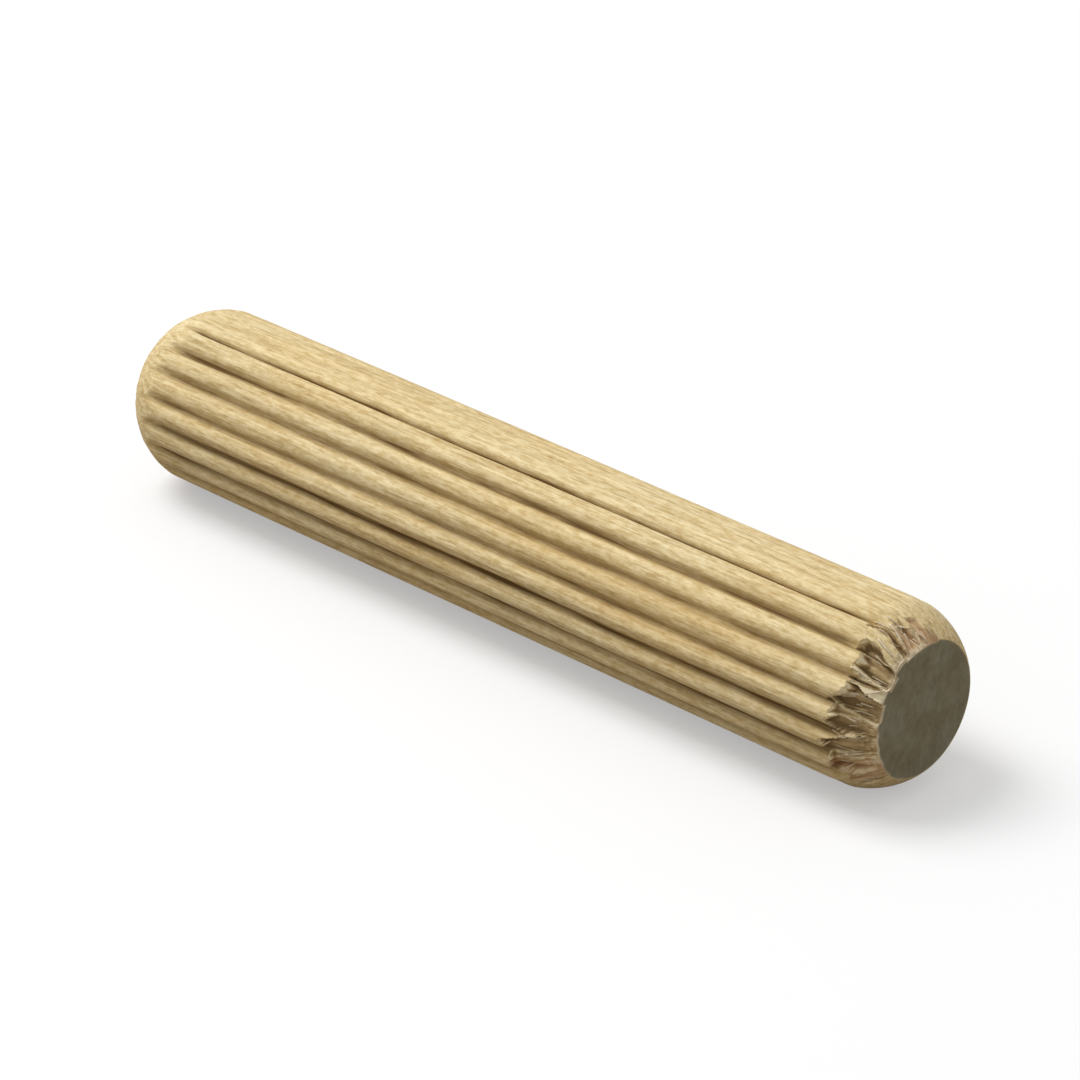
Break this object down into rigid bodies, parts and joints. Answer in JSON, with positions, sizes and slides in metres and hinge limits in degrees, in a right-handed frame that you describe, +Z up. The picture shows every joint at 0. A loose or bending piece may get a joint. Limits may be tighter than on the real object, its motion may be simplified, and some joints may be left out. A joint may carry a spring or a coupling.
{
  "type": "dowel pin",
  "caption": "Straight wooden dowel pin with lengthwise flutes and rounded bevels at both ends, one of them torn, for glued joints between boards.",
  "frame": {"origin": "on the ground under the middle of the pin, where it lies on two of its lands", "axes": "+X along the pin's axis towards its torn end, +Z up, -Y towards the side on which that end is torn"},
  "size_m": [0.0508, 0.0094, 0.0095],
  "materials": {
    "wood": "bare, unsanded"
  },
  "bodies": {
    "root": {"dowel_pin": "wood"}
  },
  "joints": []
}
